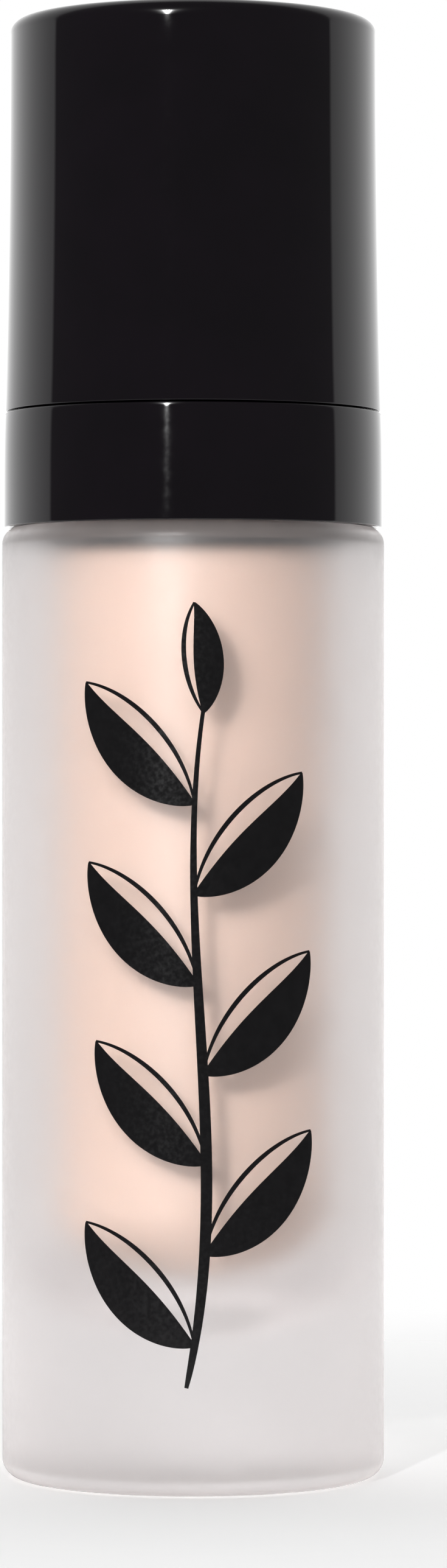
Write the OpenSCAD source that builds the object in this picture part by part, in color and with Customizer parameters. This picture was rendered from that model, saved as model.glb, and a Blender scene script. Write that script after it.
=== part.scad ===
// Pump-top foundation bottle, 30 ml: a heavy frosted glass shell around an inner liner
// bottle, a screwed-on treatment pump with its black collar, and a black overcap.
// Millimetres, +Z up, origin at the centre of the foot. The spout points along -Y.

/* [Glass bottle] */
// Outside diameter of the glass
bottle_d = 34; // [33.8:0.1:34.3]
// Height of the glass, foot to rim
glass_h = 84.2; // [83.9:0.1:84.3]
// Thickness of the glass side wall
glass_wall = 2.8; // [2.4:0.1:2.9]
// Thickness of the glass under the inside of the bottle
glass_base = 12.4; // [11:0.1:12.6]
// Radius of the rounded heel
heel_r = 1.65; // [1:0.05:2.2]
// Radius of the rounded shoulder
shoulder_r = 1.5; // [1.3:0.05:1.6]
// Depth of the label recess under the foot
punt_h = 0.9; // [0.6:0.1:1.2]

/* [Liner bottle] */
// Outside diameter of the liner's body
liner_d = 26.4; // [26:0.1:26.6]
// Wall of the liner
liner_wall = 0.9; // [0.8:0.05:1.1]
// Depth of the liner's rounded bottom
liner_bowl_h = 11; // [9:0.5:11]
// Height of the neck above the liner's flange
neck_h = 10; // [9.8:0.1:10]
// Inside diameter of the neck
neck_bore_d = 14.6; // [14:0.1:14.8]
// Turns of the neck thread
thread_turns = 1.5; // [1:0.25:1.5]

/* [Collar] */
// Height of the collar's visible band
collar_h = 10.15; // [10:0.05:10.25]
// Diameter of the collar at its lower edge
collar_d_low = 33.64; // [33.4:0.02:33.8]
// Diameter of the collar at the seam under the overcap
collar_d_top = 33.4; // [33.2:0.02:33.6]

/* [Overcap] */
// Height of the overcap
cap_h = 34.68; // [34:0.02:36]
// Diameter of the overcap at its mouth
cap_d_low = 33.36; // [33.2:0.02:33.5]
// Diameter of the overcap under its top rim
cap_d_top = 32.46; // [32.3:0.02:32.8]
// Radius of the top rim
cap_rim_r = 1.15; // [0.8:0.05:1.2]
// Thickness of the overcap's top
cap_top_t = 1.7; // [1.5:0.1:2]
// Gap of the seam between overcap and collar
seam_gap = 0.12; // [0.1:0.01:0.15]

/* [Pump] */
// Travel of the pump
stroke = 3.2; // [3:0.1:3.3]
// Bore of the pump chamber
chamber_d = 9.2; // [9:0.1:9.3]
// Outside diameter of the dip tube
dip_d = 4; // [3.8:0.05:4]
// Outside diameter of the hollow stem
stem_d = 3.8; // [3.7:0.05:3.8]
// Diameter of the actuator head
head_d = 17.8; // [17.2:0.1:18]
// Distance from the axis to the spout's tip
spout_reach = 13.5; // [12:0.1:13.6]
// Coils in the return spring
spring_coils = 8; // [6:1:9]

/* [Hidden] */

turn_fn = 96;       // sides of a turned part in OpenSCAD's own preview
run_fit = 0.05;     // radial clearance of a sliding or turning fit
slip_fit = 0.02;    // radial clearance of a part pressed or glued in place
edge_r = 0.15;      // small broken edge on moulded parts

// Glass
glass_r = bottle_d / 2;
cavity_r = glass_r - glass_wall;
foot_in_r = 10.5;
lip_r = 0.5;
cavity_bowl_h = liner_bowl_h + 1;
bowl_z = glass_base + cavity_bowl_h;        // where the rounded bottoms meet the straight sides
foot_edge_r = 0.4;

// Liner bottle
liner_r = liner_d / 2;
fill_r = liner_r - liner_wall;
ring_t = 0.6;
ring_skirt_h = 2.2;                         // how far the centring ring reaches down into the glass
ring_chamfer = 0.3;
flange_z = glass_h + ring_t;
flange_t = 1.4;
flange_r = 15.3;
neck_z = flange_z + flange_t;
lip_z = neck_z + neck_h;
neck_bore_r = neck_bore_d / 2;
neck_root_r = 8.75;
shoulder_drop = 1;                          // the liner's inner shoulder starts this far under its flange
shoulder_slope = 1.1;
thread_pitch = 25.4 / 8;                    // 8 threads to the inch
thread_depth = 1;
thread_foot = 1.9;                          // width of a thread ridge at its root
thread_crest = 0.9;                         // width at its crest
thread_z = neck_z + 2.2;
thread_sink = 0.3;                          // how far a ridge runs into the wall it grows from

// Contents and label
fill_z = glass_h - ring_skirt_h;
label_r = 9;
label_t = 0.12;

// Neck seal and pump housing
neck_gasket_t = 0.8;
housing_flange_t = 1.2;
housing_flange_r = 9.4;
housing_z = lip_z + neck_gasket_t;          // underside of the housing's flange
housing_top = housing_z + housing_flange_t;
barrel_r = 5.8;
chamber_r = chamber_d / 2;
bushing_r = 5;
bushing_depth = 3.2;
bushing_z = housing_top - bushing_depth;
spring_seat_z = housing_z - 23;
barrel_end_z = spring_seat_z - 2;
ball_rise = 0.8;                            // lift of either valve ball
keeper_z = spring_seat_z - 0.6;             // underside of the ring that stops the ball
keeper_r = 1.5;
ball_cage_r = 2.2;
inlet_ball_r = 1.75;
inlet_r = 1.2;
inlet_ball_z = keeper_z - slip_fit - ball_rise - sqrt(inlet_ball_r * inlet_ball_r - keeper_r * keeper_r);
inlet_apex_z = inlet_ball_z - slip_fit - inlet_ball_r * sqrt(2);   // point of the 45 degree seat
seat_z = inlet_apex_z + ball_cage_r;
seat_low_z = inlet_apex_z + inlet_r;
socket_top_z = seat_low_z - 0.5;
socket_z = socket_top_z - 5.4;
socket_r = 3.2;

// Dip tube
dip_r = dip_d / 2;
dip_bore_r = 1.3;
dip_low_z = 16.2;
dip_cut_angle = 35;

// Stem, piston, spring and outlet valve
stem_r = stem_d / 2;
stem_bore_r = 0.8;
stem_flange_z = spring_seat_z + 14.9;
stem_flange_t = 1;
stem_flange_r = 4;
stem_low_z = stem_flange_z - 3.4;
port_z = stem_flange_z - 1.4;
port_r = 0.45;
piston_z = stem_flange_z + stem_flange_t;
piston_top = bushing_z - 0.05;
bushing_boss_r = 3.2;
bushing_boss_top = housing_top + 2.8;
stem_top = 112.5;
duct_r = 1.1;
outlet_bore_r = 1.45;
outlet_ball_r = 1.25;
outlet_ball_z = stem_top - slip_fit - ball_rise - sqrt(outlet_ball_r * outlet_ball_r - duct_r * duct_r);
outlet_apex_z = outlet_ball_z - slip_fit - outlet_ball_r * sqrt(2);
spring_r = 3.3;
spring_wire_r = 0.3;

// Screw closure
closure_r = 11.3;
closure_bore_r = 10.15;
closure_low_z = neck_z + 0.6;
closure_roof_z = housing_top + 0.05;
closure_roof_t = 1.35;
closure_top = closure_roof_z + closure_roof_t;
closure_hole_r = 5.6;

// Collar
hem_drop = 0.05;                            // the collar's hem ends just below the glass rim
hem_t = 0.4;                                // width of the hem, which passes outside the glass shoulder
hem_chamfer_h = 0.6;
collar_z = glass_h - hem_drop;
seam_z = collar_z + collar_h;
collar_in_r = 15.75;
skirt_r = 14.5;
skirt_in_r = 13.3;
skirt_top = 104;
roof_t = 1.2;
well_r = 8.3;
hub_r = 12.4;
hub_z = 88;

// Overcap
cap_z = seam_z + seam_gap;
cap_top = cap_z + cap_h;
cap_in_r_low = 15.3;
cap_in_r_top = 14.95;
cap_ceiling_z = cap_top - cap_top_t;
cap_in_round = 1.5;
sleeve_in_r = 14.6;
sleeve_h = 13;
bead_z = seam_z + 3.5;                      // snap bead of the sleeve, groove of the skirt

// Actuator
head_r = head_d / 2;
head_z = skirt_top + stroke + 0.3;
head_top = head_z + 12;
guide_r = 7.8;
guide_in_r = 6.8;
guide_z = closure_top + stroke + 0.2;
stem_socket_r = 3.4;
stem_socket_z = 105;
spout_z = head_z + 7.6;
spout_root_r = 2.9;
spout_tip_r = 2.3;
insert_r = 1.6;
insert_depth = 2.4;
orifice_r = 0.65;
dish_r = 26;
dish_depth = 0.9;

// Inside radius of the overcap's shell: it drafts inwards from the mouth to the ceiling
function cap_in_r(z) = cap_in_r_low
    + (cap_in_r_top - cap_in_r_low) * (z - cap_z) / (cap_ceiling_z - cap_in_round - cap_z);

// Points along a circular arc
function arc(cx, cy, r, a0, a1, n = 8) =
    [for (i = [0:n]) let (a = a0 + (a1 - a0) * i / n) [cx + r * cos(a), cy + r * sin(a)]];

// Points along a quarter ellipse, from the axis out to its widest
function bowl(r, h, z, n = 16) =
    [for (i = [0:n]) let (a = 90 * i / n) [i == 0 ? 0 : r * sin(a), z - h * cos(a)]];

function reversed(list) = [for (i = [len(list) - 1:-1:0]) list[i]];

// A body turned from an outline in the r-z plane
module turned(points) {
    rotate_extrude($fn = turn_fn) polygon(points);
}

// A plain ring
module ring(r_out, r_in, z0, z1) {
    turned([[r_in, z0], [r_out, z0], [r_out, z1], [r_in, z1]]);
}

// A bar swept along frames of [centre, outward, upward, growth]. The section's points are
// [outward, upward] distances, and growth scales the outward ones
module swept(frames, section) {
    m = len(section);
    n = len(frames);
    points = [for (f = frames) for (s = section) f[0] + f[1] * s[0] * f[3] + f[2] * s[1]];
    sides = [for (i = [0:n - 2]) for (j = [0:m - 1]) let (k = (j + 1) % m)
        each [[i * m + j, (i + 1) * m + k, (i + 1) * m + j], [i * m + j, i * m + k, (i + 1) * m + k]]];
    ends = [[for (j = [m - 1:-1:0]) j], [for (j = [0:m - 1]) (n - 1) * m + j]];
    polyhedron(points, concat(sides, ends));
}

// A screw ridge. side is 1 for a ridge that points outwards and -1 for one that points inwards
module thread_ridge(root_r, side, z, turns, steps_per_turn = 30) {
    steps = round(turns * steps_per_turn);
    fade = 4;
    section = side > 0
        ? [[-thread_sink, -thread_foot / 2], [thread_depth, -thread_crest / 2],
           [thread_depth, thread_crest / 2], [-thread_sink, thread_foot / 2]]
        : [[-thread_sink, thread_foot / 2], [thread_depth, thread_crest / 2],
           [thread_depth, -thread_crest / 2], [-thread_sink, -thread_foot / 2]];
    frames = [for (i = [0:steps]) let (
            a = 360 * i / steps_per_turn,
            out = [cos(a), sin(a), 0],
            grown = min(1, 0.35 + 0.65 * min(i, steps - i) / fade))
        [out * root_r + [0, 0, z + thread_pitch * i / steps_per_turn], out * side, [0, 0, 1], grown]];
    swept(frames, section);
}

module glass_bottle() {
    recess_round = punt_h - foot_edge_r - 0.05;
    color("#e4dfdc")
    turned(concat(
        [[0, punt_h]],
        arc(foot_in_r - recess_round, punt_h - recess_round, recess_round, 90, 0, 4),
        arc(foot_in_r + foot_edge_r, foot_edge_r, foot_edge_r, 180, 270, 4),
        arc(glass_r - heel_r, heel_r, heel_r, -90, 0),
        arc(glass_r - shoulder_r, glass_h - shoulder_r, shoulder_r, 0, 90),
        arc(cavity_r + lip_r, glass_h - lip_r, lip_r, 90, 180, 4),
        reversed(bowl(cavity_r, cavity_bowl_h, bowl_z))
    ));
}

module liner_bottle() {
    neck_round = 0.4;
    flange_round = 0.3;
    shoulder_z = flange_z - shoulder_drop;
    color("#f3ece6")
    union() {
        turned(concat(
            bowl(liner_r, liner_bowl_h, bowl_z),
            [[liner_r, flange_z]],
            arc(flange_r - flange_round, flange_z + flange_round, flange_round, -90, 0, 3),
            arc(flange_r - flange_round, neck_z - flange_round, flange_round, 0, 90, 3),
            [[neck_root_r, neck_z]],
            arc(neck_root_r - neck_round, lip_z - neck_round, neck_round, 0, 90, 3),
            arc(neck_bore_r + neck_round, lip_z - neck_round, neck_round, 90, 180, 3),
            [[neck_bore_r, shoulder_z + shoulder_slope], [fill_r - 1.5, shoulder_z],
             [fill_r, shoulder_z - 1.5]],
            reversed(bowl(fill_r, liner_bowl_h - liner_wall, bowl_z))
        ));
        thread_ridge(neck_root_r, 1, thread_z, thread_turns);
    }
}

// Black ring that seals the liner's flange on the glass rim and centres the liner in the mouth
module centring_ring() {
    low = glass_h - ring_skirt_h;
    r_in = liner_r + slip_fit;
    r_out = cavity_r - slip_fit;
    color("#1d1c1e")
    turned([
        [r_in, low], [r_out - ring_chamfer, low], [r_out, low + ring_chamfer], [r_out, glass_h],
        [flange_r, glass_h], [flange_r, flange_z], [r_in, flange_z]
    ]);
}

// The liquid: it fills the liner up to its level, around the housing and the dip tube
module foundation_fill() {
    wet_gap = 0.15;
    color("#f3cdb8")
    difference() {
        turned(concat(
            bowl(fill_r - slip_fit, liner_bowl_h - liner_wall - slip_fit, bowl_z),
            [[fill_r - slip_fit, fill_z], [0, fill_z]]
        ));
        translate([0, 0, barrel_end_z - 1 - wet_gap]) cylinder(h = 40, r = barrel_r + wet_gap, $fn = turn_fn);
        translate([0, 0, socket_z - wet_gap]) cylinder(h = 20, r = socket_r + wet_gap, $fn = turn_fn);
        translate([0, 0, dip_low_z - wet_gap]) cylinder(h = 60, r = dip_r + wet_gap, $fn = turn_fn);
    }
}

// Blank label in the recess of the foot, clear of the surface the bottle stands on
module shade_label() {
    color("white")
    translate([0, 0, punt_h - label_t]) cylinder(h = label_t, r = label_r, $fn = turn_fn);
}

module dip_tube() {
    color("#f4f2ef")
    difference() {
        translate([0, 0, dip_low_z])
            cylinder(h = socket_top_z - 0.1 - dip_low_z, r = dip_r - slip_fit, $fn = turn_fn);
        translate([0, 0, dip_low_z - 1])
            cylinder(h = socket_top_z + 2 - dip_low_z, r = dip_bore_r, $fn = turn_fn);
        translate([-dip_r, 0, dip_low_z]) rotate([0, -dip_cut_angle, 0])
            translate([-1, -5, -8]) cube([14, 10, 8]);
    }
}

// Pump barrel with the inlet valve's cage and the dip tube's socket under it
module pump_housing() {
    slot = 0.9;                             // passages past a lifted ball
    color("#f2f0ec")
    difference() {
        turned([
            [socket_r, socket_z], [socket_r, barrel_end_z - 1], [barrel_r, barrel_end_z],
            [barrel_r, housing_z], [housing_flange_r, housing_z], [housing_flange_r, housing_top],
            [bushing_r, housing_top], [bushing_r, bushing_z], [chamber_r, bushing_z],
            [chamber_r, spring_seat_z], [keeper_r, spring_seat_z], [keeper_r, keeper_z],
            [ball_cage_r, keeper_z], [ball_cage_r, seat_z], [inlet_r, seat_low_z],
            [inlet_r, socket_top_z], [dip_r, socket_top_z], [dip_r, socket_z]
        ]);
        for (a = [0, 90]) rotate([0, 0, a])
            translate([-ball_cage_r + 0.1, -slot / 2, keeper_z - 0.2])
                cube([2 * ball_cage_r - 0.2, slot, 2]);
    }
}

module neck_gasket() {
    color("white")
    ring(9.3, barrel_r + 0.2, lip_z, housing_z);
}

// Snapped into the housing's mouth: it guides the stem and keeps the piston in
module stem_bushing() {
    color("#f2f0ec")
    turned([
        [stem_r + run_fit, bushing_z], [bushing_r - slip_fit, bushing_z],
        [bushing_r - slip_fit, housing_top], [bushing_boss_r, housing_top],
        [bushing_boss_r, bushing_boss_top - 0.5], [bushing_boss_r - 0.5, bushing_boss_top],
        [stem_r + run_fit, bushing_boss_top]
    ]);
}

module inlet_ball() {
    color("silver")
    translate([0, 0, inlet_ball_z]) sphere(r = inlet_ball_r, $fn = 48);
}

// Round wire coil, with its end turns closed down flat
module return_spring() {
    z_low = spring_seat_z + spring_wire_r + slip_fit;
    z_high = stem_flange_z - spring_wire_r - slip_fit;
    wire_sides = 8;
    per_turn = 20;
    steps = spring_coils * per_turn;
    rise = z_high - z_low;
    end_rise = 2 * spring_wire_r + 0.06;    // pitch of a closed end turn
    function height(t) = t < 1 ? end_rise * t
        : t > spring_coils - 1 ? rise - end_rise * (spring_coils - t)
        : end_rise + (rise - 2 * end_rise) * (t - 1) / (spring_coils - 2);
    frames = [for (i = [0:steps]) let (a = 360 * i / per_turn, out = [cos(a), sin(a), 0])
        [out * spring_r + [0, 0, z_low + height(i / per_turn)], out, [0, 0, 1], 1]];
    color("silver")
    swept(frames, [for (j = [0:wire_sides - 1]) let (b = 360 * j / wire_sides)
        spring_wire_r * [cos(b), sin(b)]]);
}

// Hollow stem: closed foot, cross port, collar for the spring and a ball valve at its top
module pump_stem() {
    color("#f2f0ec")
    difference() {
        turned([
            [0, stem_low_z], [stem_r, stem_low_z], [stem_r, stem_flange_z],
            [stem_flange_r, stem_flange_z], [stem_flange_r, piston_z], [stem_r, piston_z],
            [stem_r, stem_top], [outlet_bore_r, stem_top], [outlet_bore_r, outlet_apex_z + outlet_bore_r],
            [stem_bore_r, outlet_apex_z + stem_bore_r], [stem_bore_r, stem_low_z + 1], [0, stem_low_z + 1]
        ]);
        translate([-5, 0, port_z]) rotate([0, 90, 0]) cylinder(h = 10, r = port_r, $fn = 24);
    }
}

// Sliding seal with a flared lip at each end
module piston_seal() {
    lip = chamber_r - run_fit;
    waist = chamber_r - 0.5;
    color("#fbfaf8")
    turned([
        [stem_r + slip_fit, piston_z], [lip - 0.5, piston_z], [lip, piston_z + 0.1],
        [lip, piston_z + 0.5], [waist, piston_z + 1.3], [waist, piston_top - 1.3],
        [lip, piston_top - 0.5], [lip, piston_top - 0.1], [lip - 0.5, piston_top],
        [stem_r + slip_fit, piston_top]
    ]);
}

module outlet_ball() {
    color("silver")
    translate([0, 0, outlet_ball_z]) sphere(r = outlet_ball_r, $fn = 48);
}

// The button: a dished head with a side spout, a guide skirt and a socket for the stem
module actuator_head() {
    head_round = 1;
    slot = 0.8;                             // passage past a lifted outlet ball
    color("#161517")
    difference() {
        union() {
            turned(concat(
                [[guide_in_r, guide_z], [guide_r, guide_z], [guide_r, head_z]],
                arc(head_r - 0.4, head_z + 0.4, 0.4, -90, 0, 3),
                arc(head_r - head_round, head_top - head_round, head_round, 0, 90, 6),
                [[0, head_top], [0, head_top - 3.2], [guide_in_r, head_top - 3.2]]
            ));
            translate([0, 0, stem_socket_z])
                cylinder(h = head_top - 1 - stem_socket_z, r = stem_socket_r, $fn = turn_fn);
            translate([0, 0, spout_z]) rotate([90, 0, 0]) {
                cylinder(h = head_r, r = spout_root_r, $fn = 64);
                translate([0, 0, head_r])
                    cylinder(h = spout_reach - head_r, r1 = spout_root_r, r2 = spout_tip_r, $fn = 64);
            }
        }
        // stem socket, rising duct and spout duct
        translate([0, 0, stem_socket_z - 1])
            cylinder(h = stem_top - stem_socket_z + 1, r = stem_r + slip_fit, $fn = 48);
        translate([0, 0, stem_top - 1]) cylinder(h = spout_z - stem_top + 1, r = duct_r, $fn = 48);
        translate([-outlet_bore_r, -slot / 2, stem_top - 1]) cube([2 * outlet_bore_r, slot, 2]);
        translate([0, 0, spout_z]) sphere(r = duct_r, $fn = 48);
        translate([0, 0, spout_z]) rotate([90, 0, 0]) cylinder(h = spout_reach + 1, r = duct_r, $fn = 48);
        translate([0, -spout_reach + insert_depth, spout_z]) rotate([90, 0, 0])
            cylinder(h = insert_depth + 1, r = insert_r, $fn = 48);
        // finger dish
        translate([0, 0, head_top + dish_r - dish_depth]) sphere(r = dish_r, $fn = 128);
    }
}

// Orifice plug pressed into the spout's tip
module spout_insert() {
    tip = 0.25;
    color("#1d1c1e")
    translate([0, -spout_reach + insert_depth, spout_z]) rotate([90, 0, 0])
    turned([
        [duct_r, 0.05], [insert_r - slip_fit, 0.05], [insert_r - slip_fit, insert_depth],
        [insert_r - 0.3, insert_depth + tip], [orifice_r, insert_depth + tip],
        [orifice_r, insert_depth - 0.7]
    ]);
}

// Threaded cap that clamps the pump on the neck. Its thread starts opposite the neck's,
// half a pitch lower, so it runs between the neck's turns
module screw_closure() {
    color("#1b1a1c")
    union() {
        turned([
            [closure_bore_r, closure_low_z], [closure_r, closure_low_z], [closure_r, closure_top],
            [closure_hole_r, closure_top], [closure_hole_r, closure_roof_z], [closure_bore_r, closure_roof_z]
        ]);
        rotate([0, 0, 180]) thread_ridge(closure_bore_r, -1, thread_z, 1.25);
    }
}

// The visible black band, the ledge that carries the overcap and the skirt it plugs onto.
// The band's side eases inwards just under the seam
module collar_shell() {
    side_steps = 10;
    function side_r(z) = let (t = (z - collar_z) / collar_h)
        (collar_d_low - (collar_d_low - collar_d_top) * pow(t, 4)) / 2;
    top_round = 0.6;
    groove_r = 0.8;
    groove_depth = 0.25;
    groove_angle = acos((groove_r - groove_depth) / groove_r);
    color("#161517")
    turned(concat(
        arc(collar_d_low / 2 - edge_r, collar_z + edge_r, edge_r, -90, 0, 3),
        [for (i = [1:side_steps - 1]) let (z = collar_z + edge_r + (collar_h - 2 * edge_r) * i / side_steps)
            [side_r(z), z]],
        arc(side_r(seam_z - edge_r) - edge_r, seam_z - edge_r, edge_r, 0, 90, 3),
        [[skirt_r, seam_z]],
        arc(skirt_r + groove_r - groove_depth, bead_z, groove_r, 180 + groove_angle, 180 - groove_angle, 6),
        arc(skirt_r - top_round, skirt_top - top_round, top_round, 0, 90, 5),
        arc(well_r + 0.3, skirt_top - 0.3, 0.3, 90, 180, 3),
        [[well_r, skirt_top - roof_t], [closure_r + run_fit, skirt_top - roof_t],
         [closure_r + run_fit, hub_z], [hub_r, hub_z], [hub_r, skirt_top - roof_t],
         [skirt_in_r, skirt_top - roof_t], [skirt_in_r, seam_z - roof_t],
         [collar_in_r, seam_z - roof_t], [collar_in_r, collar_z + hem_chamfer_h],
         [collar_d_low / 2 - hem_t, collar_z]]
    ));
}

// Outer shell of the cap: its side flares gently towards the mouth
module overcap_shell() {
    side_steps = 16;
    rim_z = cap_top - cap_rim_r;
    function side_r(z) = let (t = (cap_top - z) / cap_h)
        cap_d_top / 2 + (cap_d_low - cap_d_top) / 2 * t * t;
    color("#161517")
    turned(concat(
        arc(side_r(cap_z) - edge_r, cap_z + edge_r, edge_r, -90, 0, 3),
        [for (i = [1:side_steps - 1]) let (z = cap_z + edge_r + (rim_z - cap_z - edge_r) * i / side_steps)
            [side_r(z), z]],
        arc(side_r(rim_z) - cap_rim_r, rim_z, cap_rim_r, 0, 90, 8),
        [[0, cap_top], [0, cap_ceiling_z]],
        arc(cap_in_r_top - cap_in_round, cap_ceiling_z - cap_in_round, cap_in_round, 90, 0, 5),
        [[cap_in_r_low, cap_z]]
    ));
}

// Softer sleeve bonded inside the shell's mouth. It rests on the collar's ledge, which leaves
// the seam open, and grips the skirt with a snap bead
module overcap_liner() {
    bead_r = 0.5;
    bead_out = 0.07;                        // how far the bead stands out of the sleeve
    bead_angle = acos((bead_r - bead_out) / bead_r);
    low = cap_z + 0.1;
    color("#2a292b")
    turned(concat(
        [[sleeve_in_r + 0.3, seam_z], [cap_in_r_low - 0.3, seam_z], [cap_in_r(low) - slip_fit, low],
         [cap_in_r(seam_z + sleeve_h) - slip_fit, seam_z + sleeve_h], [sleeve_in_r, seam_z + sleeve_h]],
        arc(sleeve_in_r + bead_r - bead_out, bead_z, bead_r, 180 - bead_angle, 180 + bead_angle, 4),
        [[sleeve_in_r, seam_z + 0.3]]
    ));
}

glass_bottle();
liner_bottle();
centring_ring();
foundation_fill();
shade_label();
dip_tube();
pump_housing();
neck_gasket();
stem_bushing();
inlet_ball();
return_spring();
pump_stem();
piston_seal();
outlet_ball();
actuator_head();
spout_insert();
screw_closure();
collar_shell();
overcap_shell();
overcap_liner();
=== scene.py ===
"""Looks of the pump-top foundation bottle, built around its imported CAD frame. Lengths are in metres."""
import math

import bmesh
import bpy
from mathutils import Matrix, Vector


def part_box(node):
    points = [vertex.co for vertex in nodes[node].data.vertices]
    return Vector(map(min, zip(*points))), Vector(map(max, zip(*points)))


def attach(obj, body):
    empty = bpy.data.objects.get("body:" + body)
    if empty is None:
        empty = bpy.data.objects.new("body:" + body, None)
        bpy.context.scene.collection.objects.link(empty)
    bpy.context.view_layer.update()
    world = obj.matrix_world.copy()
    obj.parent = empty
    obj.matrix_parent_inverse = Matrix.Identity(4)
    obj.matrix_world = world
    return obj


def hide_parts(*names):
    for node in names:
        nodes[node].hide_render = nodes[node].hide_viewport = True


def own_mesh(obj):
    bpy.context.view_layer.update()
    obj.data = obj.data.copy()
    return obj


MM = 0.001
UP = Vector((0, 0, 1))

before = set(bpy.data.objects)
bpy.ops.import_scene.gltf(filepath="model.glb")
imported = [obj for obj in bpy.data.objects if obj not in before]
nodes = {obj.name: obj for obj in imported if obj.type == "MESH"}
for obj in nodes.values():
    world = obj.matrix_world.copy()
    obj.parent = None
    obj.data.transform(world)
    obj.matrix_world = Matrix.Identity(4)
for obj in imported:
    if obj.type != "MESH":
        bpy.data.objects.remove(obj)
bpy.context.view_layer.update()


# ---------------------------------------------------------------- sizes taken from the frame

def top_of(node):
    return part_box(node)[1].z


def foot_of(node):
    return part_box(node)[0].z


def radius_of(node):
    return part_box(node)[1].x


GLASS_R = radius_of("glass_bottle")
GLASS_TOP = top_of("glass_bottle")
LINER_FOOT = foot_of("liner_bottle")
LINER_TOP = top_of("liner_bottle")
FLANGE_R = radius_of("liner_bottle")
FLANGE_Z = top_of("centring_ring")
# Foot of the dark band painted on the glass's mouth as shade under the collar
SHADE_BAND_FOOT = foot_of("centring_ring") + 0.7 * MM
FILL_R = radius_of("foundation_fill")
FILL_FOOT = foot_of("foundation_fill")
FILL_TOP = top_of("foundation_fill")
COLLAR_R = radius_of("collar_shell")
COLLAR_FOOT = foot_of("collar_shell")
SKIRT_TOP = top_of("collar_shell")
CAP_FOOT = foot_of("overcap_shell")
CAP_TOP = top_of("overcap_shell")
SEAM_Z = foot_of("overcap_liner")
HEAD_TOP = top_of("actuator_head")
CLOSURE_R = radius_of("screw_closure")
DIP_FOOT = foot_of("dip_tube")

# Sizes inside a node, which its box doesn't give
CAVITY_R = GLASS_R - 2.8 * MM
GLASS_BASE = 12.4 * MM
LINER_R = 13.2 * MM
LINER_WALL = 0.9 * MM
BOWL_Z = 24.4 * MM
GUIDE_FOOT = 103.0 * MM
NECK_PITCH = 3.175 * MM

# The glass leaves room for the ink. The frame's circles are faceted and reach less far along Y.
INK_THICK = 0.02 * MM
SHELL_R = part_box("glass_bottle")[1].y - INK_THICK


# ---------------------------------------------------------------- mesh helpers

def rounded(corners, steps=6):
    """The outline through (r, z, fillet) corners, with each corner cut to an arc of its fillet."""
    outline = []
    for i, (r, z, fillet) in enumerate(corners):
        here = Vector((r, z))
        if fillet == 0:
            outline.append(here)
            continue
        back = (Vector(corners[i - 1][:2]) - here).normalized()
        onward = (Vector(corners[(i + 1) % len(corners)][:2]) - here).normalized()
        half = back.angle(onward) / 2
        centre = here + (back + onward).normalized() * (fillet / math.sin(half))
        start = here + back * (fillet / math.tan(half)) - centre
        end = here + onward * (fillet / math.tan(half)) - centre
        sweep = start.angle(end)
        for k in range(steps + 1):
            t = k / steps
            spoke = (start * math.sin((1 - t) * sweep) + end * math.sin(t * sweep)) / math.sin(sweep)
            outline.append(centre + spoke)
    return outline


def bowl(r, height, z):
    """A quarter ellipse from the axis out to its widest point."""
    steps = 24
    angles = [math.pi / 2 * k / steps for k in range(steps + 1)]
    return [Vector((r * math.sin(a), z - height * math.cos(a))) for a in angles]


def spun(mesh, outline, closed=True, segments=192):
    """Adds an outline turned about Z to a bmesh. A point on the axis becomes one vertex."""
    rings = []
    for p in outline:
        if p.x < 1e-7:
            rings.append([mesh.verts.new((0, 0, p.y))])
            continue
        turn = [2 * math.pi * k / segments for k in range(segments)]
        rings.append([mesh.verts.new((p.x * math.cos(a), p.x * math.sin(a), p.y)) for a in turn])
    pairs = list(zip(rings, rings[1:] + rings[:1])) if closed else list(zip(rings, rings[1:]))
    for low, high in pairs:
        if len(low) == len(high) == 1:
            continue
        for k in range(segments):
            n = (k + 1) % segments
            corners = [low[k % len(low)], low[n % len(low)], high[n % len(high)], high[k % len(high)]]
            mesh.faces.new(list(dict.fromkeys(corners)))


def swept(mesh, spine, section):
    """Adds a closed section swept along a spine of (place, across, up, scale across, scale up)."""
    rings = [[mesh.verts.new(at + across * (x * sx) + up * (y * sy)) for x, y in section]
             for at, across, up, sx, sy in spine]
    count = len(section)
    for low, high in zip(rings, rings[1:]):
        for k in range(count):
            n = (k + 1) % count
            mesh.faces.new((low[k], high[k], high[n], low[n]))
    mesh.faces.new(rings[0])
    mesh.faces.new(list(reversed(rings[-1])))


def made(name, mesh, materials, body, replaces=(), sharp=35, paint=None):
    """Turns a bmesh into a smooth-shaded piece that rides on its body. paint picks each face's material
    by the face's centre."""
    bmesh.ops.recalc_face_normals(mesh, faces=mesh.faces)
    data = bpy.data.meshes.new(name)
    mesh.to_mesh(data)
    mesh.free()
    for m in materials:
        data.materials.append(m)
    if paint:
        for face in data.polygons:
            face.material_index = paint(face.center)
    data.shade_smooth()
    data.set_sharp_from_angle(angle=math.radians(sharp))
    piece = bpy.data.objects.new(name, data)
    bpy.context.scene.collection.objects.link(piece)
    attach(piece, body)
    if replaces:
        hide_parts(*replaces)
    return piece


# ---------------------------------------------------------------- material helpers

def add_node(tree, kind, links=None, **values):
    """Adds a node, gives values to its sockets or settings of those names and links sources to it."""
    node = tree.nodes.new(kind)
    for key, value in values.items():
        if key in node.inputs:
            node.inputs[key].default_value = value
        else:
            setattr(node, key, value)
    for key, source in (links or {}).items():
        tree.links.new(source, node.inputs[key])
    return node


def map_range(tree, source, start, end, low, high):
    """Maps a value's span from start to end onto the span from low to high, and stops at its ends."""
    node = add_node(tree, "ShaderNodeMapRange", {"Value": source})
    for socket, value in (("From Min", start), ("From Max", end), ("To Min", low), ("To Max", high)):
        node.inputs[socket].default_value = value
    return node.outputs[0]


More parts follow.
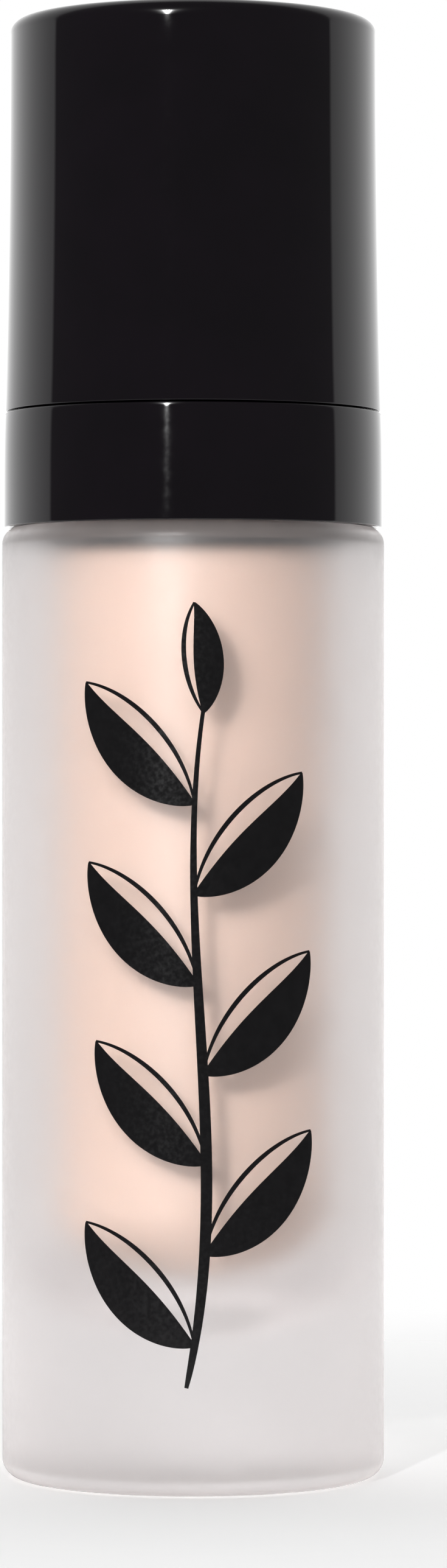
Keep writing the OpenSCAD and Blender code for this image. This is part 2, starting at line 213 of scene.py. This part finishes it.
class Look:
    """A node material: a Principled shader with short ways to add texture nodes to it."""

    def __init__(self, name):
        self.material = bpy.data.materials.new(name)
        self.material.use_nodes = True
        self.tree = self.material.node_tree
        self.shader = self.tree.nodes["Principled BSDF"]
        self.place = self.add("ShaderNodeTexCoord").outputs["Object"]
        self.height = self.add("ShaderNodeSeparateXYZ", {0: self.place}).outputs["Z"]

    def add(self, kind, links=None, **values):
        return add_node(self.tree, kind, links, **values)

    def set(self, **values):
        for key, value in values.items():
            self.shader.inputs[key.replace("_", " ")].default_value = value
        return self

    def link(self, source, socket):
        self.tree.links.new(source, self.shader.inputs[socket])

    def noise(self, scale, detail=3.0, stretch=(1, 1, 1)):
        """Noise over the piece. scale is features to the metre."""
        mapping = self.add("ShaderNodeMapping", {"Vector": self.place}, Scale=stretch)
        texture = self.add("ShaderNodeTexNoise", {"Vector": mapping.outputs[0]}, Scale=scale, Detail=detail)
        return texture.outputs[0]

    def spread(self, source, low, high, start=0.35, end=0.65):
        """Takes a value from low to high over its span from start to end. Left out, the span is the
        middle of a texture's."""
        return map_range(self.tree, source, start, end, low, high)

    def total(self, first, second):
        return self.add("ShaderNodeMath", {0: first, 1: second}, operation="ADD").outputs[0]

    def tint(self, source, dark, light):
        """Blends two colours by a texture and gives them to the base colour."""
        ramp = self.add("ShaderNodeValToRGB", {"Fac": source})
        ramp.color_ramp.elements[0].position = 0.35
        ramp.color_ramp.elements[0].color = (*dark, 1)
        ramp.color_ramp.elements[1].position = 0.65
        ramp.color_ramp.elements[1].color = (*light, 1)
        self.link(ramp.outputs[0], "Base Color")
        return ramp.outputs[0]

    def scaled(self, colour, factor):
        """Multiplies a colour by a factor and gives it to the base colour."""
        node = self.add("ShaderNodeVectorMath", {0: colour, "Scale": factor}, operation="SCALE")
        self.link(node.outputs["Vector"], "Base Color")

    def bump(self, source, height):
        node = self.add("ShaderNodeBump", {"Height": source}, Strength=1.0, Distance=height)
        self.link(node.outputs[0], "Normal")


def gloss_black(name, roughness, grain, rim, rim_h, turned=0.0):
    """Polished black moulding: faint flow ripples, and a roughness that varies a little. It gets duller
    over rim_h below the height rim, so that a lamp's gleam spreads along the rounded edge there.
    turned is how far fine lines round the part stretch its highlights upwards."""
    look = Look(name).set(IOR=1.52, Anisotropic=turned, Anisotropic_Rotation=0.25)
    if turned:
        look.link(look.add("ShaderNodeTangent", direction_type="RADIAL", axis="Z").outputs[0], "Tangent")
    look.tint(look.noise(160), (0.0026, 0.0006, 0.0032), (0.0042, 0.0014, 0.0048))
    side = look.spread(look.noise(900, 5), roughness * 0.8, roughness * 1.25)
    dulled = look.spread(look.height, 0, 0.17, rim - rim_h, rim - 0.5 * rim_h)
    look.link(look.total(side, dulled), "Roughness")
    look.bump(look.noise(2600, 4), grain)
    return look.material


def matte_black():
    """Unpolished black moulding with a fine spark-eroded grain."""
    look = Look("matte_black").set(IOR=1.5)
    look.tint(look.noise(400), (0.010, 0.010, 0.011), (0.018, 0.018, 0.019))
    look.link(look.spread(look.noise(3000), 0.38, 0.55), "Roughness")
    look.bump(look.noise(5200, 2), 0.012 * MM)
    return look.material


def frosted_glass():
    """Acid-frosted outer face of the glass: it blurs what is behind it and scatters a little white.
    Its tint is darkened at the solid base and at the top under the black collar, to match the photo:
    painted shade, for the dimmer light that the base gets and for the collar's shade. The foot is ground
    matt."""
    look = Look("frosted_glass").set(Transmission_Weight=0.86, IOR=1.5)
    # Partly painted light: the pink cast stands for the peach liquid's light scattered in the frost, over
    # the glass's own faint tint.
    clear = look.tint(look.noise(70, 4), (0.945, 0.905, 0.905), (0.985, 0.945, 0.945))
    # Painted shade: the tint gets darker towards the solid base, and darker under the black collar at the
    # top.
    base = look.spread(look.height, 0.87, 1.0, 0.5 * GLASS_BASE, 1.5 * GLASS_BASE)
    shoulder_shade = look.spread(look.height, 0, -0.2, GLASS_TOP - 3.0 * MM, GLASS_TOP - 1.2 * MM)
    look.scaled(clear, look.total(base, shoulder_shade))
    ground = look.spread(look.height, 0.45, 0, 0.3 * MM, 1.2 * MM)
    look.link(look.total(look.spread(look.noise(1500, 5), 0.36, 0.44), ground), "Roughness")
    look.bump(look.noise(9000, 3), 0.004 * MM)
    lit_through(look, (0.93, 0.92, 0.915, 1))
    return look.material


def collar_shade_band():
    """Painted shade: a dark band on the glass's inner face in the mouth, which stands for the shade under
    the black collar, drawn as dark adhesive that bonds the centring ring. It has no gloss of its own there.
    It thins out and gets lighter at its lower edge."""
    look = Look("collar_shade_band").set(Specular_IOR_Level=0)
    thick = look.tint(look.noise(500), (0.085, 0.075, 0.072), (0.105, 0.092, 0.088))
    look.scaled(thick, look.spread(look.height, 2.7, 1.0, SHADE_BAND_FOOT, SHADE_BAND_FOOT + 1.4 * MM))
    look.link(look.spread(look.noise(1800), 0.45, 0.60), "Roughness")
    look.bump(look.noise(1500, 3), 0.01 * MM)
    return look.material


def clear_glass():
    """Fire-polished inner face of the glass, with slow waves from the mould."""
    look = Look("inner_glass").set(Transmission_Weight=1.0, IOR=1.5)
    look.tint(look.noise(60), (0.965, 0.965, 0.962), (0.985, 0.984, 0.982))
    look.link(look.spread(look.noise(300), 0.22, 0.32), "Roughness")
    look.bump(look.noise(220, 2), 0.02 * MM)
    lit_through(look, (0.97, 0.965, 0.96, 1))
    return look.material


def lit_through(look, colour):
    """Lets lamps shine straight through the surface, since sharp light can't find its way through glass.
    The solid base stops most of their light."""
    output = look.tree.nodes["Material Output"]
    ray = look.add("ShaderNodeLightPath").outputs["Is Shadow Ray"]
    share = look.spread(look.height, 0.25, 1.0, 0.7 * GLASS_BASE, 1.1 * GLASS_BASE)
    passed = look.add("ShaderNodeMath", {0: ray, 1: share}, operation="MULTIPLY").outputs[0]
    clear = look.add("ShaderNodeBsdfTransparent", Color=colour)
    mix = look.add("ShaderNodeMixShader", {0: passed, 1: look.shader.outputs[0], 2: clear.outputs[0]})
    look.tree.links.new(mix.outputs[0], output.inputs["Surface"])


def milky_plastic(name, alpha):
    """Thin natural polypropylene: it veils what is behind it in white."""
    look = Look(name).set(IOR=1.49, Alpha=alpha)
    look.tint(look.noise(120, 4), (0.90, 0.87, 0.84), (0.95, 0.92, 0.89))
    look.link(look.spread(look.noise(800), 0.32, 0.45), "Roughness")
    look.bump(look.noise(1400, 3), 0.006 * MM)
    return look.material


def natural_plastic(name, light, dark, roughness):
    """Solid natural plastic of the pump's parts."""
    look = Look(name).set(IOR=1.5, Subsurface_Weight=0.25, Subsurface_Scale=0.6 * MM)
    look.tint(look.noise(300), dark, light)
    look.link(look.spread(look.noise(1800), roughness * 0.85, roughness * 1.15), "Roughness")
    look.bump(look.noise(3500, 3), 0.004 * MM)
    return look.material


def foundation_cream():
    """The liquid: opaque light peach with slow swirls of pigment and a wet surface."""
    look = Look("foundation_cream").set(IOR=1.42)
    swirls = look.noise(55, 6, stretch=(1, 1, 0.35))
    look.tint(swirls, (0.865, 0.595, 0.465), (0.895, 0.635, 0.505))
    look.link(look.spread(look.noise(500), 0.22, 0.34), "Roughness")
    look.bump(look.noise(260, 2), 0.02 * MM)
    return look.material


def drawn_steel():
    """Bright stainless steel with fine upright drawing lines."""
    look = Look("drawn_steel").set(Metallic=1.0)
    look.tint(look.noise(700), (0.55, 0.55, 0.54), (0.68, 0.68, 0.67))
    look.link(look.spread(look.noise(4000, 4, stretch=(1, 1, 0.1)), 0.16, 0.30), "Roughness")
    look.bump(look.noise(9000, 2, stretch=(1, 1, 0.1)), 0.002 * MM)
    return look.material


def foamed_seal():
    """Expanded polyethylene of the gaskets, with its small closed cells."""
    look = Look("foamed_seal").set(IOR=1.48)
    cells = look.add("ShaderNodeTexVoronoi", {"Vector": look.place}, Scale=4200).outputs["Distance"]
    look.tint(cells, (0.70, 0.69, 0.67), (0.84, 0.83, 0.81))
    look.link(look.spread(look.noise(2500), 0.60, 0.75), "Roughness")
    look.bump(cells, 0.03 * MM)
    return look.material


def label_film():
    """Blank translucent film with a fine tooth."""
    look = Look("label_film").set(IOR=1.46, Alpha=0.3)
    look.tint(look.noise(900), (0.82, 0.82, 0.81), (0.88, 0.88, 0.87))
    look.link(look.spread(look.noise(2500), 0.42, 0.55), "Roughness")
    look.bump(look.noise(6000, 2), 0.003 * MM)
    return look.material


def screen_ink():
    """Black screen ink: semi-gloss, with the weave of the screen and fine specks in its surface."""
    look = Look("screen_ink").set(IOR=1.5)
    look.tint(look.noise(900, 4), (0.0045, 0.0040, 0.0048), (0.0075, 0.0068, 0.0078))
    look.link(look.spread(look.noise(2600, 5), 0.14, 0.26), "Roughness")
    look.bump(look.noise(4000, 4), 0.0008 * MM)
    return look.material


CAP_BLACK = gloss_black("cap_black", roughness=0.03, grain=0.00015 * MM, rim=CAP_TOP, rim_h=1.5 * MM)
COLLAR_BLACK = gloss_black("collar_black", roughness=0.062, grain=0.0002 * MM, rim=SEAM_Z, rim_h=0.3 * MM,
                           turned=0.95)
MATTE_BLACK = matte_black()
FROSTED = frosted_glass()
INNER_GLASS = clear_glass()
COLLAR_SHADE_BAND = collar_shade_band()
MILKY = milky_plastic("milky_liner", alpha=0.12)
DIP_PLASTIC = milky_plastic("dip_plastic", alpha=0.7)
NATURAL = natural_plastic("natural_plastic", (0.90, 0.88, 0.85), (0.84, 0.82, 0.79), roughness=0.35)
PISTON = natural_plastic("piston_plastic", (0.93, 0.93, 0.92), (0.88, 0.88, 0.87), roughness=0.45)
CREAM = foundation_cream()
STEEL = drawn_steel()
SEAL = foamed_seal()
LABEL = label_film()
INK = screen_ink()


# ---------------------------------------------------------------- pieces

def glass_bottle():
    """The frosted shell: foot ring, thick base, straight cavity with a rounded bottom."""
    recess_r = 10.5 * MM
    recess_h = 0.9 * MM
    outline = rounded([
        (0, recess_h, 0), (recess_r, recess_h, 0.45 * MM), (recess_r, 0, 0.4 * MM),
        (SHELL_R, 0, 1.65 * MM), (SHELL_R, GLASS_TOP, 1.5 * MM), (CAVITY_R, GLASS_TOP, 0.5 * MM),
        (CAVITY_R, SHADE_BAND_FOOT, 0), (CAVITY_R, BOWL_Z, 0),
    ], steps=12)
    outline += reversed(bowl(CAVITY_R, BOWL_Z - GLASS_BASE, BOWL_Z)[:-1])
    mesh = bmesh.new()
    spun(mesh, outline, segments=256)

    def face_material(centre):
        r = math.hypot(centre.x, centre.y)
        # Inner faces in the mouth get the band of painted shade under the collar
        if centre.z > SHADE_BAND_FOOT and r < FLANGE_R + 0.1 * MM:
            return 2
        inside = r < CAVITY_R + 0.05 * MM and centre.z > GLASS_BASE - 0.1 * MM
        return 1 if inside else 0

    return made("glass_shell", mesh, [FROSTED, INNER_GLASS, COLLAR_SHADE_BAND], "bottle",
                ["glass_bottle"], paint=face_material)


def helical_ridge(mesh, root_r, z, turns, depth, foot, crest):
    """A screw thread's ridge that fades in and out at its ends."""
    per_turn = 64
    steps = round(turns * per_turn)
    fade_steps = 10
    end_size = 0.15
    sunk = 0.25 * MM
    section = [(-sunk, -foot / 2), (depth * 0.75, -crest * 0.62), (depth, -crest * 0.35),
               (depth, crest * 0.35), (depth * 0.75, crest * 0.62), (-sunk, foot / 2)]
    spine = []
    for i in range(steps + 1):
        a = 2 * math.pi * i / per_turn
        out = Vector((math.cos(a), math.sin(a), 0))
        grown = min(1, end_size + (1 - end_size) * min(i, steps - i) / fade_steps)
        spine.append((out * root_r + UP * (z + NECK_PITCH * i / per_turn), out, UP, grown, grown))
    swept(mesh, spine, section)


def liner_bottle():
    """The milky inner bottle. Its flange and threaded neck are thick enough to be opaque."""
    neck_r = 8.75 * MM
    neck_z = FLANGE_Z + 1.4 * MM
    bore_r = 7.3 * MM
    inner_r = LINER_R - LINER_WALL
    outline = bowl(LINER_R, BOWL_Z - LINER_FOOT, BOWL_Z)[:-1]
    outline += rounded([
        (LINER_R, BOWL_Z, 0), (LINER_R, FLANGE_Z, 0), (FLANGE_R, FLANGE_Z, 0.3 * MM),
        (FLANGE_R, neck_z, 0.3 * MM), (neck_r, neck_z, 0.35 * MM), (neck_r, LINER_TOP, 0.4 * MM),
        (bore_r, LINER_TOP, 0.4 * MM), (bore_r, FLANGE_Z, 0.4 * MM),
        (inner_r, FLANGE_Z - 1.0 * MM, 1.4 * MM), (inner_r, BOWL_Z, 0),
    ])
    outline += reversed(bowl(inner_r, BOWL_Z - LINER_FOOT - LINER_WALL, BOWL_Z)[:-1])
    mesh = bmesh.new()
    spun(mesh, outline)
    helical_ridge(mesh, neck_r, neck_z + 2.2 * MM, turns=1.5, depth=1.0 * MM, foot=1.9 * MM, crest=0.9 * MM)

    def face_material(centre):
        return 1 if centre.z > FLANGE_Z + 0.05 * MM else 0

    return made("liner_shell", mesh, [MILKY, NATURAL], "bottle", ["liner_bottle"],
                paint=face_material)


def foundation():
    """The liquid, with a meniscus drawn up the liner's wall and the pump's barrel."""
    gap = 0.15 * MM
    barrel_r = 5.8 * MM + gap
    barrel_end = 71.0 * MM - gap
    socket_r = 3.2 * MM + gap
    socket_end = foot_of("pump_housing") - gap
    dip_r = radius_of("dip_tube") + gap
    dip_end = DIP_FOOT - gap
    sag = 0.5 * MM
    creep = 0.8 * MM
    steps = 24
    outline = bowl(FILL_R, BOWL_Z - FILL_FOOT, BOWL_Z)
    outline += [Vector((FILL_R, FILL_TOP))]
    width = FILL_R - barrel_r
    for k in range(1, steps):
        t = k / steps
        edge = math.exp(-t * width / creep) + math.exp(-(1 - t) * width / creep)
        outline.append(Vector((FILL_R - t * width, FILL_TOP - sag * (1 - min(1, edge)))))
    outline += rounded([
        (barrel_r, FILL_TOP, 0), (barrel_r, barrel_end, 0.3 * MM), (socket_r, barrel_end, 0.3 * MM),
        (socket_r, socket_end, 0.3 * MM), (dip_r, socket_end, 0.1 * MM), (dip_r, dip_end, 0.3 * MM),
        (0, dip_end, 0),
    ])
    mesh = bmesh.new()
    spun(mesh, outline)
    return made("foundation_liquid", mesh, [CREAM], "bottle", ["foundation_fill"])


def collar():
    """The black band, its ledge, the snap skirt with its groove, the well and the hub."""
    drawn_in = 0.12 * MM
    steps = 20
    straight_steps = 4
    side = []
    for k in range(straight_steps, steps):
        t = k / steps
        side.append((COLLAR_R - drawn_in * t ** 4, COLLAR_FOOT + (SEAM_Z - COLLAR_FOOT) * t, 0))
    band_in_r = 15.75 * MM
    skirt_r = 14.5 * MM
    skirt_in_r = 13.3 * MM
    well_r = 8.3 * MM
    hub_r = 12.4 * MM
    hub_in_r = CLOSURE_R + 0.05 * MM
    hub_foot = 88.0 * MM
    ledge_under = SEAM_Z - 1.2 * MM
    roof_under = SKIRT_TOP - 1.2 * MM
    groove_z = SEAM_Z + 3.5 * MM
    outline = rounded([
        (band_in_r, COLLAR_FOOT + 0.6 * MM, 0.1 * MM), (COLLAR_R - 0.4 * MM, COLLAR_FOOT, 0.1 * MM),
        (COLLAR_R, COLLAR_FOOT, 0.15 * MM), *side,
        (COLLAR_R - drawn_in, SEAM_Z, 0.15 * MM),
        (skirt_r, SEAM_Z, 0.12 * MM), (skirt_r, groove_z - 0.6 * MM, 0.2 * MM),
        (skirt_r - 0.25 * MM, groove_z - 0.25 * MM, 0.2 * MM),
        (skirt_r - 0.25 * MM, groove_z + 0.25 * MM, 0.2 * MM),
        (skirt_r, groove_z + 0.6 * MM, 0.2 * MM), (skirt_r, SKIRT_TOP, 0.6 * MM),
        (well_r, SKIRT_TOP, 0.3 * MM), (well_r, roof_under, 0.1 * MM), (hub_in_r, roof_under, 0),
        (hub_in_r, hub_foot, 0.1 * MM), (hub_r, hub_foot, 0.1 * MM), (hub_r, roof_under, 0.2 * MM),
        (skirt_in_r, roof_under, 0.2 * MM), (skirt_in_r, ledge_under, 0.2 * MM),
        (band_in_r, ledge_under, 0.2 * MM),
    ])
    mesh = bmesh.new()
    spun(mesh, outline, segments=256)
    return made("collar_band", mesh, [COLLAR_BLACK], "closure", ["collar_shell"])


def overcap():
    """The tall cap: its side flares gently to the mouth, with a soft rim on top."""
    mouth_r = radius_of("overcap_shell")
    mouth_in_r = 15.3 * MM
    under_rim_r = mouth_r - 0.45 * MM
    rim = 1.15 * MM
    ceiling = CAP_TOP - 1.7 * MM
    ceiling_r = 14.95 * MM
    height = CAP_TOP - CAP_FOOT
    steps = 24
    end_steps = 2
    side = []
    for k in range(end_steps, steps - end_steps):
        t = 1 - k / steps
        side.append((under_rim_r + (mouth_r - under_rim_r) * t * t, CAP_TOP - height * t, 0))
    outline = rounded([
        (mouth_in_r, CAP_FOOT, 0.1 * MM), (mouth_r, CAP_FOOT, 0.15 * MM), *side,
        (under_rim_r, CAP_TOP, rim), (0, CAP_TOP, 0), (0, ceiling, 0), (ceiling_r, ceiling, 1.5 * MM),
    ], steps=10)
    mesh = bmesh.new()
    spun(mesh, outline, segments=256)
    return made("overcap_body", mesh, [CAP_BLACK], "overcap", ["overcap_shell"])


def return_spring():
    """A round wire coil with closed end turns, on a mesh of its own. The real coil shortens as the pump is
    pressed; nothing in this script shortens it.
    """
    low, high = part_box("return_spring")
    wire_r = 0.3 * MM
    coil_r = high.x - wire_r
    turns = 8
    per_turn = 48
    rise = high.z - low.z - 2 * wire_r
    gap = 0.06 * MM
    end_rise = 2 * wire_r + gap
    open_rise = (rise - 2 * end_rise) / (turns - 2)
    spine = []
    for i in range(turns * per_turn + 1):
        t = i / per_turn
        end_turns = min(t, 1) + max(t - turns + 1, 0)
        open_turns = min(max(t - 1, 0), turns - 2)
        height = end_rise * end_turns + open_rise * open_turns
        a = 2 * math.pi * t
        out = Vector((math.cos(a), math.sin(a), 0))
        spine.append((out * coil_r + UP * (low.z + wire_r + height), out, UP, wire_r, wire_r))
    around = 12
    angles = [2 * math.pi * k / around for k in range(around)]
    section = [(math.cos(a), math.sin(a)) for a in angles]
    mesh = bmesh.new()
    swept(mesh, spine, section)
    spring = made("spring_coil", mesh, [STEEL], "pump", ["return_spring"])
    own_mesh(spring)
    return spring


def blended_spout(mesh, root_r, tip_r, flare, head_r, axis_z, reach, bore_r, bore_depth):
    """A round spout along -Y. Its root flares into the side of a round head and ends inside its wall."""
    around = 64
    flare_steps = 10
    steps = 4
    sunk = 1.4 * MM
    flare_reach = 0.9 * flare
    edge = 0.25 * MM
    chamfer = 0.1 * MM

    def ring(r, y, onto_head=False):
        points = []
        for k in range(around):
            a = 2 * math.pi * k / around
            x = r * math.cos(a)
            depth = -math.sqrt(head_r * head_r - x * x) if onto_head else y
            points.append(mesh.verts.new((x, depth, axis_z + r * math.sin(a))))
        return points

    rings = [ring(root_r + flare, sunk - head_r), ring(root_r + flare, 0, onto_head=True)]
    for k in range(1, flare_steps + 1):
        a = math.pi / 2 * k / flare_steps
        rings.append(ring(root_r + flare * (1 - math.sin(a)), -head_r - flare_reach * (1 - math.cos(a))))
    length = reach - head_r - flare - edge
    for k in range(1, steps + 1):
        t = k / steps
        rings.append(ring(root_r + (tip_r - root_r) * t, -head_r - flare - length * t))
    for k in range(1, steps + 1):
        a = math.pi / 2 * k / steps
        rings.append(ring(tip_r - edge * (1 - math.cos(a)), -reach + edge - edge * math.sin(a)))
    rings.append(ring(bore_r + chamfer, -reach))
    rings.append(ring(bore_r, -reach + chamfer))
    rings.append(ring(bore_r, -reach + bore_depth))
    for low, high in zip(rings, rings[1:]):
        for k in range(around):
            n = (k + 1) % around
            mesh.faces.new((low[k], low[n], high[n], high[k]))
    mesh.faces.new(rings[0])
    mesh.faces.new(rings[-1])


def actuator():
    """The push button: dished top with grip rings, side spout, guide skirt and stem socket."""
    low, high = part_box("actuator_head")
    head_r = high.x
    head_foot = SKIRT_TOP + 3.5 * MM
    guide_r = 7.8 * MM
    guide_in_r = 6.8 * MM
    under = HEAD_TOP - 3.2 * MM
    stem_r = 1.92 * MM
    socket_r = 3.4 * MM
    socket_foot = 105.0 * MM
    socket_top = under + 0.5 * MM
    dish_r = 6.7 * MM
    dish_depth = 0.9 * MM
    grip_r = 5.2 * MM
    grip_pitch = 0.9 * MM
    grip_h = 0.045 * MM
    sunk = 0.05 * MM
    steps = 24
    dish = []
    for k in range(steps + 1):
        r = dish_r * k / steps
        ripple = grip_h * math.cos(2 * math.pi * r / grip_pitch) if r < grip_r else 0
        dish.append((r, HEAD_TOP - dish_depth * (1 - (r / dish_r) ** 2) + ripple - sunk, 0))
    outline = rounded([
        (guide_in_r, GUIDE_FOOT, 0.2 * MM), (guide_r, GUIDE_FOOT, 0.2 * MM),
        (guide_r, head_foot, 0.2 * MM), (head_r, head_foot, 0.4 * MM),
        (head_r, HEAD_TOP, 1.0 * MM), *reversed(dish),
        (0, under, 0), (guide_in_r, under, 0.4 * MM),
    ], steps=8)
    mesh = bmesh.new()
    spun(mesh, outline)
    socket = rounded([
        (stem_r, socket_foot, 0.1 * MM), (socket_r, socket_foot, 0.2 * MM), (socket_r, socket_top, 0),
        (stem_r, socket_top, 0),
    ])
    spun(mesh, socket, segments=96)
    insert_r = 1.58 * MM
    spout_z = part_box("spout_insert")[0].z + insert_r
    blended_spout(mesh, root_r=2.7 * MM, tip_r=2.3 * MM, flare=0.9 * MM, head_r=head_r, axis_z=spout_z,
                  reach=-low.y, bore_r=1.6 * MM, bore_depth=2.4 * MM)
    return made("actuator_button", mesh, [CAP_BLACK], "actuator", ["actuator_head"])


# ---------------------------------------------------------------- screen print

def on_glass(across, z, lift):
    """A point on the front of the glass, across it along the curve and up it. lift is off the surface."""
    a = across / SHELL_R
    r = SHELL_R + lift
    return Vector((r * math.sin(a), -r * math.cos(a), z))


def curve_point(p, t):
    """A point on a cubic Bezier."""
    s = 1 - t
    return p[0] * s ** 3 + p[1] * 3 * s * s * t + p[2] * 3 * s * t * t + p[3] * t ** 3


def brush_stroke(mesh, controls, thick, thin, heavy=0.5, fullness=1.2, lift=INK_THICK):
    """An ink stroke along a Bezier in millimetres. It swells from thin at its ends to thick where
    heavy says, and fullness below 1 keeps it wide for longer."""
    steps = 56
    across = 8
    nudge = 1e-3
    sunk = 0.01 * MM
    p = [Vector(c) * MM for c in controls]
    tops, feet = [], []
    for i in range(steps + 1):
        t = i / steps
        here = curve_point(p, t)
        way = curve_point(p, min(1, t + nudge)) - curve_point(p, max(0, t - nudge))
        side = Vector((-way.y, way.x)).normalized()
        bent = t ** (math.log(0.5) / math.log(heavy))
        width = (thin + (thick - thin) * math.sin(math.pi * bent) ** fullness) * MM
        row = [here + side * width * (k / across - 0.5) for k in range(across + 1)]
        tops.append([mesh.verts.new(on_glass(q.x, q.y, lift)) for q in row])
        feet.append([mesh.verts.new(on_glass(q.x, q.y, -sunk)) for q in row])
    for i in range(steps):
        for k in range(across):
            mesh.faces.new((tops[i][k], tops[i][k + 1], tops[i + 1][k + 1], tops[i + 1][k]))
            mesh.faces.new((feet[i][k], feet[i + 1][k], feet[i + 1][k + 1], feet[i][k + 1]))
        for k in (0, across):
            mesh.faces.new((tops[i][k], tops[i + 1][k], feet[i + 1][k], feet[i][k]))
    for row, under in ((tops[0], feet[0]), (tops[-1], feet[-1])):
        for k in range(across):
            mesh.faces.new((row[k], under[k], under[k + 1], row[k + 1]))


def leaf(mesh, root, tip, belly, weight):
    """A pointed leaf from root to tip: its lower half is inked solid and a hairline closes the upper.
    belly is how far the halves bow apart, to the left of the way from root to tip if positive."""
    way = tip - root
    side = Vector((-way.y, way.x)).normalized()

    def bowed(share):
        bow = side * belly * share
        return [root, root + way * 0.3 + bow, root + way * 0.75 + bow, tip]

    brush_stroke(mesh, bowed(-0.55), thick=weight, thin=0.12, heavy=0.45, fullness=0.95,
                 lift=INK_THICK - 0.002 * MM)
    brush_stroke(mesh, bowed(0.85), thick=0.42, thin=0.2, lift=INK_THICK - 0.004 * MM)


def screen_print():
    """A climbing sprig of half-inked leaves, the bottle's only decoration."""
    mesh = bmesh.new()
    foot = 9.5
    top = 68.0
    middle = 1.0
    stem = [Vector((middle - 1.5, foot)), Vector((middle + 3.0, foot + 20)),
            Vector((middle - 3.0, top - 20)), Vector((middle, top))]
    brush_stroke(mesh, stem, thick=1.0, thin=0.35, heavy=0.3)
    leaves = 7
    for i in range(leaves):
        side = 1 if i % 2 else -1
        root = curve_point(stem, (i + 0.45) / (leaves + 0.5))
        leaf(mesh, root, root + Vector((9.9 * side, 10.5)), belly=3.4 * side, weight=4.0)
    leaf(mesh, stem[-1] - Vector((0, 0.5)), stem[-1] + Vector((-0.8, 9.0)), belly=2.0, weight=2.6)
    return made("screen_print", mesh, [INK], "bottle", sharp=50)


glass_bottle()
liner_bottle()
foundation()
return_spring()
collar()
overcap()
actuator()
screen_print()

CARRIED = {
    "centring_ring": MATTE_BLACK, "neck_gasket": SEAL, "shade_label": LABEL, "dip_tube": DIP_PLASTIC,
    "pump_housing": NATURAL, "stem_bushing": NATURAL, "pump_stem": NATURAL, "piston_seal": PISTON,
    "inlet_ball": STEEL, "outlet_ball": STEEL, "spout_insert": MATTE_BLACK,
    "screw_closure": MATTE_BLACK, "overcap_liner": MATTE_BLACK,
}
for name, look in CARRIED.items():
    node = nodes[name]
    node.data.materials.clear()
    node.data.materials.append(look)


# ---------------------------------------------------------------- stage, light and camera

def floor():
    """A pale round floor that melts away into the white backdrop around the bottle. It glows, and more
    under the bottle, in place of the daylight that the thick glass base lets down."""
    look = Look("pale_floor").set(Roughness=0.6, Specular_IOR_Level=0, Emission_Color=(1, 1, 1, 1))
    look.tint(look.noise(30), (0.78, 0.78, 0.78), (0.80, 0.80, 0.80))
    away = look.add("ShaderNodeVectorMath", {0: look.place}, operation="LENGTH").outputs["Value"]
    look.link(look.spread(away, 0.72, 0.38, 0.78 * GLASS_R, 0.98 * GLASS_R), "Emission Strength")
    look.link(look.spread(away, 1.0, 0.0, 0.03, 0.16), "Alpha")
    floor_r = 0.18
    sunk = 0.03 * MM
    mesh = bmesh.new()
    spun(mesh, [Vector((0, -sunk)), Vector((floor_r, -sunk))], closed=False, segments=96)
    data = bpy.data.meshes.new("floor")
    mesh.to_mesh(data)
    mesh.free()
    data.materials.append(look.material)
    piece = bpy.data.objects.new("floor", data)
    bpy.context.scene.collection.objects.link(piece)


def studio_world():
    """A white sweep, with the camera's dark room before it. It is plain white to the eye. Reflections
    see it brighten towards the back, behind a sharp edge. Glass lets a softer version of it through."""
    world = bpy.data.worlds.new("studio")
    world.use_nodes = True
    bpy.context.scene.world = world
    tree = world.node_tree

    def node(kind, links=None, **values):
        return add_node(tree, kind, links, **values)

    def graded(start, end, low, high):
        return map_range(tree, depth, start, end, low, high)

    way = node("ShaderNodeTexCoord")
    depth = node("ShaderNodeSeparateXYZ", {0: way.outputs["Generated"]}).outputs["Y"]
    ray = node("ShaderNodeLightPath")
    sweep = node("ShaderNodeMix", {"Factor": graded(0.09, 0.13, 0, 1), "B": graded(0, 1, 0.6, 1.45)},
                 A=0.16)
    middle = node("ShaderNodeMath", {0: graded(-0.5, 0.1, 0.47, 0.98), 1: graded(0.1, 1, 1, 0.86)},
                  operation="MULTIPLY")
    through = node("ShaderNodeMix", {"Factor": ray.outputs["Is Transmission Ray"],
                                     "A": sweep.outputs["Result"], "B": middle.outputs[0]})
    seen = node("ShaderNodeMix", {"Factor": ray.outputs["Is Camera Ray"], "A": through.outputs["Result"]},
                B=1.0)
    tree.links.new(seen.outputs["Result"], tree.nodes["Background"].inputs["Strength"])
    tree.nodes["Background"].inputs["Color"].default_value = (1, 1, 1, 1)


def lamp(name, azimuth, elevation, distance, size, power):
    """A square softbox aimed at the bottle's middle. Azimuth 0 is the front, positive to the right.
    It isn't seen through glass, where its glare would wash out the views from behind."""
    data = bpy.data.lights.new(name, "AREA")
    data.size = size
    data.energy = power
    a, e = math.radians(azimuth), math.radians(elevation)
    way = Vector((math.sin(a) * math.cos(e), -math.cos(a) * math.cos(e), math.sin(e)))
    light = bpy.data.objects.new(name, data)
    light.location = Vector((0, 0, CAP_TOP / 2)) + way * distance
    light.rotation_euler = way.to_track_quat("Z", "Y").to_euler()
    light.visible_transmission = False
    bpy.context.scene.collection.objects.link(light)


def camera():
    data = bpy.data.cameras.new("camera")
    data.sensor_width = 36
    data.lens = 128.6
    data.clip_start = 0.01
    view = bpy.data.objects.new("camera", data)
    view.location = (2.7 * MM, -498 * MM, 61.4 * MM)
    view.rotation_euler = (math.radians(90), 0, 0)
    bpy.context.scene.collection.objects.link(view)
    bpy.context.scene.camera = view


floor()
studio_world()
lamp("key", azimuth=-15.7, elevation=16.5, distance=1.2, size=0.035, power=5.7)
camera()
bpy.context.scene.view_settings.view_transform = "Standard"
